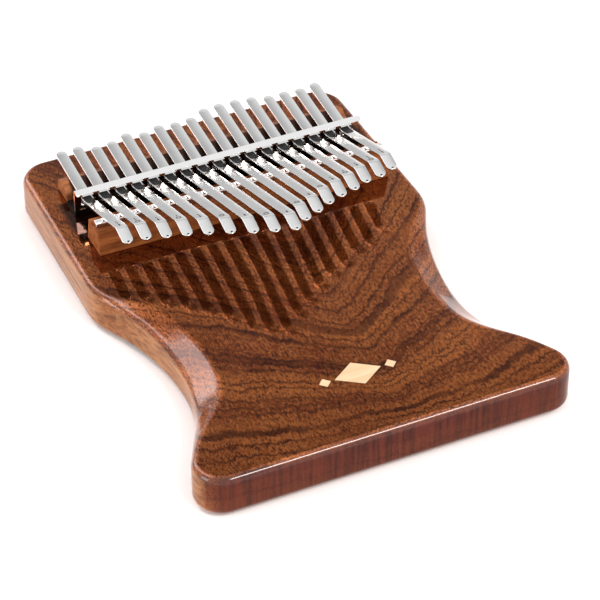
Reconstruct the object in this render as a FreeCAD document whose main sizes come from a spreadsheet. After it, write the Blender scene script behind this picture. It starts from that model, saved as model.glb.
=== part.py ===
import FreeCAD, Part
import Sketcher
import math
import os

# A seventeen-tine mbira (kalimba) on a waisted solid board.
# Frame: origin at the middle of the underside, +X right, +Y away from the player
# (towards the clamped ends of the tines), +Z up. Millimetres and degrees.

SIZES = {
    # board
    "board_length": 209.0,
    "board_thick": 18.5,
    "front_half": 76.0,
    "front_radius": 11.0,
    "waist_half": 57.4,
    "waist_radius": 70.0,
    "waist_rear_radius": 100.0,
    "waist_offset": 37.7,
    "shoulder_half": 72.4,
    "shoulder_radius": 26.0,
    "rear_half": 71.4,
    "rear_radius": 12.0,
    "top_edge_round": 3.0,
    "bottom_edge_round": 4.0,
    "bevel_reach": 47.0,
    "bevel_radius": 80.0,
    "bevel_offset": 34.0,
    "bevel_drop": 27.0,
    "bevel_depth": 12.0,
    # how far all the hardware sits to the right of the board's middle
    "hardware_shift": 1.7,
    # front bridge, with the steel saddle let into its top
    "bridge_front": 34.4,
    "bridge_depth": 13.8,
    "bridge_half": 62.9,
    "bridge_front_height": 11.0,
    "bridge_rear_height": 10.4,
    "bridge_front_lean": 1.8,
    "bridge_rear_lean": 2.1,
    "saddle_front": 38.8,
    "saddle_width": 3.0,
    "saddle_half": 62.3,
    "saddle_seat": 9.6,
    "saddle_top": 13.0,
    "saddle_round": 0.9,
    # rear bridge, a wedge with a rounded ridge
    "wedge_front": 72.9,
    "wedge_depth": 10.1,
    "wedge_half": 62.2,
    "wedge_toe": 4.9,
    "wedge_ridge": 77.4,
    "wedge_height": 7.6,
    "wedge_rear_height": 4.9,
    "wedge_round": 2.0,
    # pressed steel bracket
    "wall_front": 62.2,
    "sheet_thick": 1.0,
    "bracket_half": 62.5,
    "bracket_height": 12.7,
    "lip_depth": 4.4,
    "foot_depth": 9.2,
    "window_width": 6.1,
    "window_bottom": 4.1,
    "window_top": 7.45,
    "arch_radius": 2.35,
    "arch_centre": 7.1,
    "lip_corner": 1.6,
    "sheet_bend": 0.9,
    # screws that hold the bracket down
    "screw_line": 67.9,
    "screw_spacing": 28.4,
    "screw_shank": 3.0,
    "screw_hole": 3.2,
    "screw_head": 6.0,
    "screw_head_height": 2.0,
    "screw_crown": 1.0,
    "screw_length": 11.0,
    # tines
    "tine_pitch": 7.1,
    "tine_width": 4.6,
    "tine_thick": 1.0,
    "clamp_height": 6.05,
    "rear_angle": 5.2,
    "front_angle": 17.9,
    "tip_angle": 17.0,
    "tip_part": 7.7,
    "clamp_bend": 12.0,
    "tip_bend": 2.0,
    "end_round": 2.25,
    "split_line": 38.5,
    "split_gap": 0.1,
    # inlay
    "inlay_y": -71.0,
    "inlay_half_width": 9.5,
    "inlay_half_height": 6.5,
    "inlay_small_half": 2.4,
    "inlay_small_offset": 13.5,
    "inlay_depth": 1.2,
}

# Horizontal reach of each tine's tip in front of the split line, left to right.
REACHES = [20.6, 22.1, 25.7, 29.3, 33.7, 38.6, 44.3, 48.6, 52.1, 45.8, 41.4, 36.5, 32.8, 29.7,
           25.6, 23.9, 19.6]
# Y of each tine's clamped end, left to right: tuning leaves them a little uneven.
REAR_ENDS = [93.9, 94.1, 91.4, 92.0, 94.5, 92.4, 94.2, 93.5, 93.9, 97.1, 97.6, 97.4, 96.5, 94.7,
             94.7, 94.2, 95.2]
TINES = range(1, 18)
MIDDLE_TINE = 9
SCREW_COUNT = 5
# Where the flare leaves the front corner, in degrees: a start for the solver, which makes it tangent.
FLARE_TURN = 27.0

for tine, reach, rear in zip(TINES, REACHES, REAR_ENDS):
    SIZES["reach_%02d" % tine] = reach
    SIZES["rear_%02d" % tine] = rear

doc = FreeCAD.newDocument("mbira")
sheet = doc.addObject("Spreadsheet::Sheet", "dims")
for row, (alias, value) in enumerate(SIZES.items(), start=1):
    sheet.set("A%d" % row, alias)
    sheet.set("B%d" % row, str(value))
    sheet.setAlias("B%d" % row, alias)
doc.recompute()


class Dims:
    """Plain access to the driving sizes."""

    def __getattr__(self, name):
        return SIZES[name]


dims = Dims()


def new_body(label):
    body = doc.addObject("PartDesign::Body", label)
    body.Label = label
    return body


def new_sketch(body, name, role, offset="0"):
    """A sketch on one of the body's origin planes, moved along its normal by an expression."""
    sketch = body.newObject("Sketcher::SketchObject", name)
    plane = [item for item in body.Origin.OriginFeatures if item.Role == role][0]
    sketch.AttachmentSupport = (plane, "")
    sketch.MapMode = "FlatFace"
    sketch.setExpression(".AttachmentOffset.Base.z", offset)
    return sketch


def drive(sketch, kind, refs, value, expression):
    """Add a driving constraint bound to the sheet."""
    index = sketch.addConstraint(Sketcher.Constraint(kind, *refs, value))
    sketch.setExpression("Constraints[%d]" % index, expression)


def place_point(sketch, geometry, end, spot):
    """Fix a point at ((x, expression), (y, expression)) from the sketch origin."""
    (x, x_text), (y, y_text) = spot
    drive(sketch, "DistanceX", (-1, 1, geometry, end), x, x_text)
    drive(sketch, "DistanceY", (-1, 1, geometry, end), y, y_text)


def polygon(sketch, spots):
    """A closed outline of straight lines through spots, every corner bound to the sheet."""
    corners = [FreeCAD.Vector(x[0], y[0], 0) for x, y in spots]
    first = sketch.GeometryCount
    count = len(corners)
    for i in range(count):
        sketch.addGeometry(Part.LineSegment(corners[i], corners[(i + 1) % count]), False)
    for i in range(count):
        following = first + (i + 1) % count
        sketch.addConstraint(Sketcher.Constraint("Coincident", first + i, 2, following, 1))
    for i, spot in enumerate(spots):
        place_point(sketch, first + i, 1, spot)


def circle(sketch, spot, radius):
    index = sketch.addGeometry(Part.Circle(FreeCAD.Vector(spot[0][0], spot[1][0], 0),
                                           FreeCAD.Vector(0, 0, 1), radius[0]), False)
    place_point(sketch, index, 3, spot)
    drive(sketch, "Radius", (index,), radius[0], radius[1])


def pad(body, sketch, name, length, both_ways=False):
    feature = body.newObject("PartDesign::Pad", name)
    feature.Profile = sketch
    feature.Midplane = both_ways
    feature.setExpression("Length", length)
    doc.recompute()
    return feature


def pocket(body, sketch, name, depth, both_ways=False, flipped=False):
    """Cut the sketch into the body, and make sure that it removes material."""
    before = body.Shape.Volume
    feature = body.newObject("PartDesign::Pocket", name)
    feature.Profile = sketch
    feature.Midplane = both_ways
    feature.Reversed = flipped
    feature.setExpression("Length", depth)
    body.Tip = feature
    doc.recompute()
    if not body.Shape.Volume < before - 1e-3:
        raise RuntimeError("%s cuts nothing" % name)
    return feature


def fillet(body, name, edges, radius):
    rounded = body.Tip
    feature = body.newObject("PartDesign::Fillet", name)
    feature.Base = (rounded, edges)
    feature.setExpression("Radius", radius)
    body.Tip = feature
    doc.recompute()
    return feature


def edges_where(shape, test):
    return ["Edge%d" % (i + 1) for i, edge in enumerate(shape.Edges) if test(edge)]


def near(a, b, room=1e-3):
    return abs(a - b) < room


# ---------------------------------------------------------------- board

def arc_about(centre, radius, start, end):
    """An arc from angle start to angle end in degrees, anticlockwise."""
    ring = Part.Circle(FreeCAD.Vector(centre[0], centre[1], 0), FreeCAD.Vector(0, 0, 1), radius)
    return Part.ArcOfCircle(ring, math.radians(start), math.radians(end))


def board_side(sketch, side):
    """Corner, flare, two waist arcs, shoulder, flank and rear corner of one side, front to rear.

    Returns the indices of the two corner arcs. side is 1 for the right, -1 for the left.
    """
    half = dims.board_length / 2
    front = (dims.front_half - dims.front_radius, dims.front_radius - half)
    waist = (dims.waist_half + dims.waist_radius, -dims.waist_offset)
    rear_waist = (dims.waist_half + dims.waist_rear_radius, waist[1])
    spread = dims.waist_rear_radius + dims.shoulder_radius
    across = spread - (dims.shoulder_half - dims.waist_half)
    shoulder_y = waist[1] + math.sqrt(spread ** 2 - across ** 2)
    shoulder = (dims.shoulder_half - dims.shoulder_radius, shoulder_y)
    rear = (dims.rear_half - dims.rear_radius, half - dims.rear_radius)
    shoulder_turn = math.degrees(math.acos(across / spread))

    def rim(centre, radius, angle):
        turn = math.radians(angle)
        return FreeCAD.Vector(side * (centre[0] + radius * math.cos(turn)),
                              centre[1] + radius * math.sin(turn), 0)

    def arc(centre, radius, start, end):
        centre = (side * centre[0], centre[1])
        if side < 0:
            start, end = 180 - end, 180 - start
        return sketch.addGeometry(arc_about(centre, radius, start, end), False)

    def line(a, b):
        return sketch.addGeometry(Part.LineSegment(a, b), False)

    corner = arc(front, dims.front_radius, -90, FLARE_TURN)
    flare = line(rim(front, dims.front_radius, FLARE_TURN),
                 rim(waist, dims.waist_radius, 180 + FLARE_TURN))
    hollow = arc(waist, dims.waist_radius, 180, 180 + FLARE_TURN)
    rear_hollow = arc(rear_waist, dims.waist_rear_radius, 180 - shoulder_turn, 180)
    bulge = arc(shoulder, dims.shoulder_radius, -shoulder_turn, 0)
    flank = line(rim(shoulder, dims.shoulder_radius, 0), rim(rear, dims.rear_radius, 0))
    tail = arc(rear, dims.rear_radius, 0, 90)

    # An arc's first point is at its smaller angle, so the mirrored arcs run the other way.
    first, last = (1, 2) if side > 0 else (2, 1)
    joints = [(corner, last, flare, 1), (flare, 2, hollow, last),
              (hollow, first, rear_hollow, last), (rear_hollow, first, bulge, first),
              (bulge, last, flank, 1), (flank, 2, tail, first)]
    for joint in joints:
        sketch.addConstraint(Sketcher.Constraint("Tangent", *joint))

    sign = "" if side > 0 else "-1 * "
    for index, centre, radius, text in (
            (corner, front, "front_radius", "(dims.front_half - dims.front_radius)"),
            (hollow, waist, "waist_radius", "(dims.waist_half + dims.waist_radius)"),
            (bulge, shoulder, "shoulder_radius", "(dims.shoulder_half - dims.shoulder_radius)"),
            (tail, rear, "rear_radius", "(dims.rear_half - dims.rear_radius)")):
        drive(sketch, "Radius", (index,), SIZES[radius], "dims." + radius)
        drive(sketch, "DistanceX", (-1, 1, index, 3), side * centre[0], sign + text)
    drive(sketch, "Radius", (rear_hollow,), dims.waist_rear_radius, "dims.waist_rear_radius")
    for index in (hollow, rear_hollow):
        drive(sketch, "DistanceY", (-1, 1, index, 3), waist[1], "-1 * dims.waist_offset")
    return corner, tail, first, last


def build_board():
    body = new_body("board")
    sketch = new_sketch(body, "board_outline", "XY_Plane")
    half = dims.board_length / 2
    right = board_side(sketch, 1)
    left = board_side(sketch, -1)
    for tag, y, which, end_right, end_left in (
            ("front", -half, 0, right[2], left[2]), ("rear", half, 1, right[3], left[3])):
        reach = SIZES[tag + "_half"] - SIZES[tag + "_radius"]
        edge = sketch.addGeometry(Part.LineSegment(FreeCAD.Vector(-reach, y, 0),
                                                   FreeCAD.Vector(reach, y, 0)), False)
        sketch.addConstraint(Sketcher.Constraint("Tangent", left[which], end_left, edge, 1))
        sketch.addConstraint(Sketcher.Constraint("Tangent", edge, 2, right[which], end_right))
        sketch.addConstraint(Sketcher.Constraint("Horizontal", edge))
        sign = -1 if y < 0 else 1
        drive(sketch, "DistanceY", (-1, 1, edge, 1), y, "%d * dims.board_length / 2" % sign)
    pad(body, sketch, "board_pad", "dims.board_thick")

    for side, z in (("top", dims.board_thick), ("bottom", 0)):
        rim = edges_where(body.Shape, lambda edge: near(edge.BoundBox.ZMin, z)
                          and near(edge.BoundBox.ZMax, z))
        fillet(body, side + "_edge_rounding", rim, "dims.%s_edge_round" % side)
    cut_waist_bevels(body)
    cut_board_pockets(body)
    return body


def cut_waist_bevels(body):
    """A shallow conical scoop at each waist, where the hands hold the board."""
    for side, tag in ((1, "right"), (-1, "left")):
        sketch = new_sketch(body, "bevel_%s_profile" % tag, "XZ_Plane", "dims.bevel_offset")
        axis_x = dims.bevel_reach + dims.bevel_radius
        run = dims.bevel_depth / math.tan(math.radians(dims.bevel_drop))
        flip = "" if side > 0 else "-1 * "
        top = (dims.board_thick, "dims.board_thick")
        inner = (side * dims.bevel_reach, flip + "dims.bevel_reach")
        outer = (side * (dims.bevel_reach + run),
                 flip + "(dims.bevel_reach + dims.bevel_depth / tan(dims.bevel_drop * 1 deg))")
        centre = (side * axis_x, flip + "(dims.bevel_reach + dims.bevel_radius)")
        low = (dims.board_thick - dims.bevel_depth, "dims.board_thick - dims.bevel_depth")
        clear = (dims.board_thick + 1, "dims.board_thick + 1")
        polygon(sketch, [(inner, top), (outer, low), (centre, low), (centre, clear),
                         (inner, clear)])
        axis = sketch.addGeometry(Part.LineSegment(FreeCAD.Vector(side * axis_x, 0, 0),
                                                   FreeCAD.Vector(side * axis_x, 30, 0)), True)
        sketch.addConstraint(Sketcher.Constraint("Vertical", axis))
        place_point(sketch, axis, 1, (centre, (0.0, "0")))
        drive(sketch, "DistanceY", (axis, 1, axis, 2), dims.board_thick, "dims.board_thick")
        before = body.Shape.Volume
        groove = body.newObject("PartDesign::Groove", "bevel_%s" % tag)
        groove.Profile = sketch
        groove.ReferenceAxis = (sketch, ["Axis0"])
        groove.Angle = 360
        body.Tip = groove
        doc.recompute()
        if not body.Shape.Volume < before - 1:
            raise RuntimeError("the %s bevel cuts nothing" % tag)


def lozenge_spots(centre_x, centre_y, half_width, half_height):
    """Four corners of a lozenge, from (value, expression) pairs."""
    def beside(base, step, sign):
        return (base[0] + sign * step[0], "%s %s %s" % (base[1], "+" if sign > 0 else "-", step[1]))
    return [(beside(centre_x, half_width, -1), centre_y),
            (centre_x, beside(centre_y, half_height, -1)),
            (beside(centre_x, half_width, 1), centre_y),
            (centre_x, beside(centre_y, half_height, 1))]


def draw_inlay(sketch):
    """One large lozenge between two small ones."""
    y = (dims.inlay_y, "dims.inlay_y")
    large = (dims.inlay_half_width, "dims.inlay_half_width")
    tall = (dims.inlay_half_height, "dims.inlay_half_height")
    small = (dims.inlay_small_half, "dims.inlay_small_half")
    polygon(sketch, lozenge_spots((0.0, "0"), y, large, tall))
    for sign in (-1, 1):
        x = (sign * dims.inlay_small_offset, "%d * dims.inlay_small_offset" % sign)
        polygon(sketch, lozenge_spots(x, y, small, small))


def screw_spots(shift=0.0, shift_text="0"):
    """Screw centres along the bracket's foot, as (value, expression) pairs."""
    spots = []
    for i in range(SCREW_COUNT):
        step = i - (SCREW_COUNT - 1) / 2
        x = (step * dims.screw_spacing + shift, "%g * dims.screw_spacing + %s" % (step, shift_text))
        spots.append((x, (dims.screw_line, "dims.screw_line")))
    return spots


def cut_board_pockets(body):
    sketch = new_sketch(body, "inlay_recess_outline", "XY_Plane", "dims.board_thick")
    draw_inlay(sketch)
    pocket(body, sketch, "inlay_recess", "dims.inlay_depth")
    sketch = new_sketch(body, "screw_hole_plan", "XY_Plane", "dims.board_thick")
    for spot in screw_spots(dims.hardware_shift, "dims.hardware_shift"):
        circle(sketch, spot, (dims.screw_hole / 2, "dims.screw_hole / 2"))
    pocket(body, sketch, "screw_holes", "dims.screw_length")


# ---------------------------------------------------------------- fixed hardware

def above(value, text):
    """A height above the board's top face."""
    return (dims.board_thick + value, "dims.board_thick + " + text)


def side_profile(label, spots, width):
    """A bar whose end profile lies in the YZ plane, centred on the hardware's middle line."""
    body = new_body(label)
    body.setExpression(".Placement.Base.x", "dims.hardware_shift")
    sketch = new_sketch(body, label + "_profile", "YZ_Plane")
    polygon(sketch, spots)
    pad(body, sketch, label + "_pad", width, both_ways=True)
    return body


def build_inlay():
    body = new_body("lozenge_inlay")
    sketch = new_sketch(body, "inlay_outline", "XY_Plane", "dims.board_thick - dims.inlay_depth")
    draw_inlay(sketch)
    pad(body, sketch, "inlay_pad", "dims.inlay_depth")
    return body


def build_front_bridge():
    front = dims.bridge_front
    rear = front + dims.bridge_depth
    rear_text = "dims.bridge_front + dims.bridge_depth"
    floor = above(0, "0")
    body = side_profile("front_bridge", [
        ((front, "dims.bridge_front"), floor),
        ((rear, rear_text), floor),
        ((rear - dims.bridge_rear_lean, rear_text + " - dims.bridge_rear_lean"),
         above(dims.bridge_rear_height, "dims.bridge_rear_height")),
        ((front + dims.bridge_front_lean, "dims.bridge_front + dims.bridge_front_lean"),
         above(dims.bridge_front_height, "dims.bridge_front_height"))],
        "2 * dims.bridge_half")
    sketch = new_sketch(body, "saddle_slot_profile", "YZ_Plane")
    near_side = (dims.saddle_front, "dims.saddle_front")
    far_side = (dims.saddle_front + dims.saddle_width, "dims.saddle_front + dims.saddle_width")
    seat = above(dims.saddle_seat, "dims.saddle_seat")
    clear = above(dims.saddle_top, "dims.saddle_top")
    polygon(sketch, [(near_side, seat), (far_side, seat), (far_side, clear), (near_side, clear)])
    pocket(body, sketch, "saddle_slot", "2 * dims.saddle_half", both_ways=True)
    return body


def build_saddle():
    near_side = (dims.saddle_front, "dims.saddle_front")
    far_side = (dims.saddle_front + dims.saddle_width, "dims.saddle_front + dims.saddle_width")
    seat = above(dims.saddle_seat, "dims.saddle_seat")
    top = above(dims.saddle_top, "dims.saddle_top")
    body = side_profile("saddle_bar", [(near_side, seat), (far_side, seat), (far_side, top),
                                       (near_side, top)], "2 * dims.saddle_half")
    height = dims.board_thick + dims.saddle_top
    long_edges = edges_where(body.Shape, lambda edge: near(edge.BoundBox.ZMin, height)
                             and near(edge.BoundBox.ZMax, height) and edge.Length > 50)
    fillet(body, "saddle_crown", long_edges, "dims.saddle_round")
    return body


def build_rear_bridge():
    front = dims.wedge_front
    rear = front + dims.wedge_depth
    rear_text = "dims.wedge_front + dims.wedge_depth"
    floor = above(0, "0")
    body = side_profile("rear_bridge", [
        ((front, "dims.wedge_front"), floor),
        ((rear, rear_text), floor),
        ((rear, rear_text), above(dims.wedge_rear_height, "dims.wedge_rear_height")),
        ((dims.wedge_ridge, "dims.wedge_ridge"), above(dims.wedge_height, "dims.wedge_height")),
        ((front, "dims.wedge_front"), above(dims.wedge_toe, "dims.wedge_toe"))],
        "2 * dims.wedge_half")
    ridge = edges_where(body.Shape, lambda edge: edge.Length > 50
                        and near(edge.BoundBox.YMin, dims.wedge_ridge))
    fillet(body, "ridge_round", ridge, "dims.wedge_round")
    return body


def build_bracket():
    """Foot on the board, upright wall with one window per tine, lip bent forward at the top."""
    wall = dims.wall_front
    back = wall + dims.sheet_thick
    back_text = "dims.wall_front + dims.sheet_thick"
    thick = dims.sheet_thick
    body = side_profile("pressure_bracket", [
        ((wall, "dims.wall_front"), above(0, "0")),
        ((back + dims.foot_depth, back_text + " + dims.foot_depth"), above(0, "0")),
        ((back + dims.foot_depth, back_text + " + dims.foot_depth"),
         above(thick, "dims.sheet_thick")),
        ((back, back_text), above(thick, "dims.sheet_thick")),
        ((back, back_text), above(dims.bracket_height, "dims.bracket_height")),
        ((back - dims.lip_depth, back_text + " - dims.lip_depth"),
         above(dims.bracket_height, "dims.bracket_height")),
        ((back - dims.lip_depth, back_text + " - dims.lip_depth"),
         above(dims.bracket_height - thick, "dims.bracket_height - dims.sheet_thick")),
        ((wall, "dims.wall_front"),
         above(dims.bracket_height - thick, "dims.bracket_height - dims.sheet_thick"))],
        "2 * dims.bracket_half")

    def on_line(edge, y, z):
        box = edge.BoundBox
        return (edge.Length > 50 and near(box.YMin, y) and near(box.YMax, y)
                and near(box.ZMin, dims.board_thick + z) and near(box.ZMax, dims.board_thick + z))

    outer = edges_where(body.Shape, lambda edge: on_line(edge, wall, 0)
                        or on_line(edge, back, dims.bracket_height))
    fillet(body, "outer_bends", outer, "dims.sheet_bend")
    lip_front = back - dims.lip_depth
    corners = edges_where(body.Shape, lambda edge: near(edge.BoundBox.YMin, lip_front)
                          and near(edge.Length, thick))
    fillet(body, "lip_corners", corners, "dims.lip_corner")

    sketch = new_sketch(body, "window_outlines", "XZ_Plane")
    for tine in TINES:
        place = tine - MIDDLE_TINE
        centre = place * dims.tine_pitch
        left = (centre - dims.window_width / 2,
                "%d * dims.tine_pitch - dims.window_width / 2" % place)
        right = (centre + dims.window_width / 2,
                 "%d * dims.tine_pitch + dims.window_width / 2" % place)
        low = above(dims.window_bottom, "dims.window_bottom")
        high = above(dims.window_top, "dims.window_top")
        polygon(sketch, [(left, low), (right, low), (right, high), (left, high)])
    through = "2 * (dims.wall_front + 2 * dims.sheet_thick)"
    pocket(body, sketch, "windows", through, both_ways=True)

    # a round crown over each window; only its corners come close to the tine
    sketch = new_sketch(body, "window_arches", "XZ_Plane")
    for tine in TINES:
        place = tine - MIDDLE_TINE
        spot = ((place * dims.tine_pitch, "%d * dims.tine_pitch" % place),
                above(dims.arch_centre, "dims.arch_centre"))
        circle(sketch, spot, (dims.arch_radius, "dims.arch_radius"))
    pocket(body, sketch, "arches", through, both_ways=True)

    sketch = new_sketch(body, "foot_hole_plan", "XY_Plane",
                        "dims.board_thick + 2 * dims.sheet_thick")
    for spot in screw_spots():
        circle(sketch, spot, (dims.screw_hole / 2, "dims.screw_hole / 2"))
    pocket(body, sketch, "foot_holes", "3 * dims.sheet_thick")
    return body


def build_screws():
    """Pan-head wood screws: one turned profile, repeated along the foot."""
    shapes = []
    for i in range(SCREW_COUNT):
        step = i - (SCREW_COUNT - 1) / 2
        shank = doc.addObject("Part::Cylinder", "shank_%d" % i)
        shank.setExpression("Radius", "dims.screw_shank / 2")
        shank.setExpression("Height", "dims.screw_length - 2 * dims.sheet_thick")
        head = doc.addObject("Part::Cylinder", "head_%d" % i)
        head.setExpression("Radius", "dims.screw_head / 2")
        head.setExpression("Height", "dims.screw_head_height")
        for piece, height in ((shank, "dims.board_thick + 3 * dims.sheet_thick - dims.screw_length"),
                              (head, "dims.board_thick + dims.sheet_thick")):
            piece.setExpression(".Placement.Base.x", "%g * dims.screw_spacing" % step)
            piece.setExpression(".Placement.Base.y", "dims.screw_line")
            piece.setExpression(".Placement.Base.z", height)
        drive_slot = doc.addObject("Part::Box", "slot_%d" % i)
        drive_slot.setExpression("Length", "dims.screw_head + 1")
        drive_slot.setExpression("Width", "dims.screw_shank / 4")
        drive_slot.setExpression("Height", "dims.screw_head_height / 2")
        drive_slot.setExpression(".Placement.Base.x",
                                 "%g * dims.screw_spacing - dims.screw_head / 2 - 0.5" % step)
        drive_slot.setExpression(".Placement.Base.y", "dims.screw_line - dims.screw_shank / 8")
        drive_slot.setExpression(".Placement.Base.z",
                                 "dims.board_thick + dims.sheet_thick + dims.screw_head_height / 2")
        joined = doc.addObject("Part::Fuse", "blank_%d" % i)
        joined.Base = shank
        joined.Tool = head
        doc.recompute()
        crown = doc.addObject("Part::Fillet", "crown_%d" % i)
        crown.Base = joined
        top = dims.board_thick + dims.sheet_thick + dims.screw_head_height
        crown.Edges = [(n, dims.screw_crown, dims.screw_crown)
                       for n, edge in enumerate(joined.Shape.Edges, start=1)
                       if near(edge.BoundBox.ZMin, top) and near(edge.BoundBox.ZMax, top)]
        screw = doc.addObject("Part::Cut", "screw_%d" % i)
        screw.Base = crown
        screw.Tool = drive_slot
        shapes.append(screw)
    group = doc.addObject("Part::Compound", "bracket_screws")
    group.Label = "bracket_screws"
    group.Links = shapes
    group.setExpression(".Placement.Base.x", "dims.hardware_shift")
    doc.recompute()
    return group


# ---------------------------------------------------------------- tines

def bent_strip(label, corner, rear_turn, front_turn, rear_end, front_end, bend):
    """A strip of tine steel with one bend, drawn from the side and padded across.

    corner is the underside's bend point. Each leg leaves it at an angle above the horizontal:
    rear_turn towards +Y, front_turn towards -Y, as (value, expression) pairs in degrees.
    rear_end and front_end are the Y of the underside's two ends. Returns the body and the
    underside's three points.
    """
    body = new_body(label)
    sketch = new_sketch(body, label + "_profile", "YZ_Plane")
    thick = dims.tine_thick
    (corner_y, _), (corner_z, _) = corner
    rear = math.radians(rear_turn[0])
    front = math.radians(front_turn[0])
    half_turn = (rear + front) / 2
    lean = (front - rear) / 2
    vector = FreeCAD.Vector
    low = [vector(rear_end[0], corner_z + (rear_end[0] - corner_y) * math.tan(rear), 0),
           vector(corner_y, corner_z, 0),
           vector(front_end[0], corner_z + (corner_y - front_end[0]) * math.tan(front), 0)]
    mitre = thick / math.cos(half_turn)
    high = [low[0] + vector(-math.sin(rear), math.cos(rear), 0) * thick,
            low[1] + vector(math.sin(lean), math.cos(lean), 0) * mitre,
            low[2] + vector(math.sin(front), math.cos(front), 0) * thick]
    rim = low + high[::-1]
    for i in range(6):
        sketch.addGeometry(Part.LineSegment(rim[i], rim[(i + 1) % 6]), False)
    for i in range(6):
        sketch.addConstraint(Sketcher.Constraint("Coincident", i, 2, (i + 1) % 6, 1))
    under_rear, under_front, front_cut, over_front, over_rear, rear_cut = range(6)
    add = sketch.addConstraint
    add(Sketcher.Constraint("Parallel", under_rear, over_rear))
    add(Sketcher.Constraint("Parallel", under_front, over_front))
    add(Sketcher.Constraint("Perpendicular", rear_cut, under_rear))
    add(Sketcher.Constraint("Perpendicular", front_cut, under_front))
    drive(sketch, "Distance", (front_cut,), thick, "dims.tine_thick")
    drive(sketch, "Distance", (rear_cut,), thick, "dims.tine_thick")
    place_point(sketch, under_rear, 2, corner)
    drive(sketch, "DistanceX", (-1, 1, under_rear, 1), *rear_end)
    drive(sketch, "DistanceX", (-1, 1, under_front, 2), *front_end)
    drive(sketch, "DistanceY", (under_rear, 2, under_rear, 1), low[0].y - low[1].y,
          "(%s - (%s)) * tan((%s) * 1 deg)" % (rear_end[1], corner[0][1], rear_turn[1]))
    drive(sketch, "DistanceY", (under_front, 1, under_front, 2), low[2].y - low[1].y,
          "(%s - (%s)) * tan((%s) * 1 deg)" % (corner[0][1], front_end[1], front_turn[1]))
    pad(body, sketch, label + "_pad", "dims.tine_width", both_ways=True)

    def across_at(point):
        return edges_where(body.Shape, lambda edge: near(edge.Length, dims.tine_width)
                           and near(edge.BoundBox.YMin, point.x)
                           and near(edge.BoundBox.ZMin, point.y))

    inside, outside = (high[1], low[1]) if half_turn > 0 else (low[1], high[1])
    fillet(body, label + "_inner_bend", across_at(inside), bend + " - dims.tine_thick / 2")
    fillet(body, label + "_outer_bend", across_at(outside), bend + " + dims.tine_thick / 2")
    return body, low


def round_nose(body, label, y, z):
    """Round both corners of the strip's end at (y, z), seen from above."""
    reach = 2 * dims.tine_thick
    corners = edges_where(body.Shape, lambda edge: near(edge.Length, dims.tine_thick)
                          and abs(edge.CenterOfMass.y - y) < reach
                          and abs(edge.CenterOfMass.z - z) < reach)
    fillet(body, label + "_nose", corners, "dims.end_round")


def clamp_corner():
    """The underside of every tine where the bracket's wall holds it down."""
    return ((dims.wall_front + dims.sheet_thick / 2, "dims.wall_front + dims.sheet_thick / 2"),
            above(dims.clamp_height, "dims.clamp_height"))


def build_tine(tine):
    """The clamped root and the free tongue of one tine, in two bodies."""
    shift = "%d * dims.tine_pitch + dims.hardware_shift" % (tine - MIDDLE_TINE)
    rear = ("rear_%02d" % tine, "dims.rear_%02d" % tine)
    corner = clamp_corner()
    rear_turn = (dims.rear_angle, "dims.rear_angle")
    front_turn = (dims.front_angle, "dims.front_angle")
    root_label = "tine_%02d_root" % tine
    split_rear = (dims.split_line + dims.split_gap / 2, "dims.split_line + dims.split_gap / 2")
    root, low = bent_strip(root_label, corner, rear_turn, front_turn,
                           (SIZES[rear[0]], rear[1]), split_rear, "dims.clamp_bend")
    round_nose(root, root_label, low[0].x, low[0].y + dims.tine_thick / 2)

    tip_y = dims.split_line - SIZES["reach_%02d" % tine]
    bend_text = "(dims.split_line - dims.reach_%02d + dims.tip_part)" % tine
    bend_y = tip_y + dims.tip_part
    rise = (corner[0][0] - bend_y) * math.tan(math.radians(dims.front_angle))
    bend_corner = ((bend_y, bend_text),
                   (corner[1][0] + rise, "%s + (%s - %s) * tan(dims.front_angle * 1 deg)"
                    % (corner[1][1], corner[0][1], bend_text)))
    split_front = (dims.split_line - dims.split_gap / 2, "dims.split_line - dims.split_gap / 2")
    tongue_label = "tine_%02d_tongue" % tine
    tongue, low = bent_strip(tongue_label, bend_corner,
                             (-dims.front_angle, "-1 * dims.front_angle"),
                             (-dims.tip_angle, "-1 * dims.tip_angle"), split_front,
                             (tip_y, "dims.split_line - dims.reach_%02d" % tine),
                             "dims.tip_bend")
    round_nose(tongue, tongue_label, low[2].x, low[2].y + dims.tine_thick / 2)
    for body in (root, tongue):
        body.setExpression(".Placement.Base.x", shift)
    return [root, tongue]


# ---------------------------------------------------------------- all parts

parts = [build_board(), build_inlay(), build_front_bridge(), build_saddle(),
         build_rear_bridge(), build_bracket(), build_screws()]
for number in TINES:
    parts += build_tine(number)
doc.recompute()

for item in doc.Objects:
    if "Invalid" in item.State or "Error" in item.State:
        raise RuntimeError("%s is %s" % (item.Label, item.State))
os.makedirs("parts", exist_ok=True)
for part in parts:
    shape = part.Shape
    if shape.isNull() or not shape.isValid() or not shape.Solids:
        raise RuntimeError("%s has no valid solid" % part.Label)
    shape.exportStep("parts/%s.step" % part.Label)
    print("%-20s %2d solid(s) %10.1f mm3" % (part.Label, len(shape.Solids), shape.Volume))
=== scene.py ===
import math

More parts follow.
